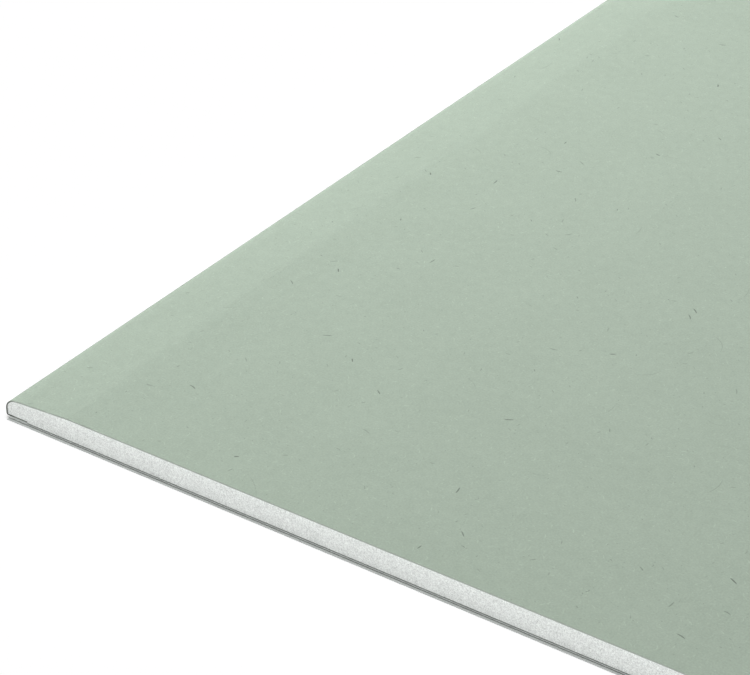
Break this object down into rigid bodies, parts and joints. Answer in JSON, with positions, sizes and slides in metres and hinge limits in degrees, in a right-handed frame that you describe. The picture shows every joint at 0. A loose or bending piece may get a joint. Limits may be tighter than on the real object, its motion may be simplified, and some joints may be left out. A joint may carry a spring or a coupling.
{
  "type": "drywall sheet",
  "caption": "Flat moisture-resistant drywall sheet: gypsum core, green face paper wrapped round tapered half-round long edges, grey back paper, bare cut ends.",
  "frame": {"origin": "centre of the sheet's underside, which is the outer face of the back paper", "axes": "+Z out of the green face, +Y along the sheet's length, X across its width"},
  "size_m": [1.2, 2.5, 0.0125],
  "materials": {
    "gypsum": "matt off-white foamed gypsum, finely grained and porous where it is cut",
    "face_liner": "matt pale green recycled paper with fine dark and pale fibres",
    "back_liner": "matt grey recycled paper with fine fibres"
  },
  "bodies": {
    "root": {"gypsum_core": "gypsum", "face_paper": "face_liner", "back_paper": "back_liner"}
  },
  "joints": []
}
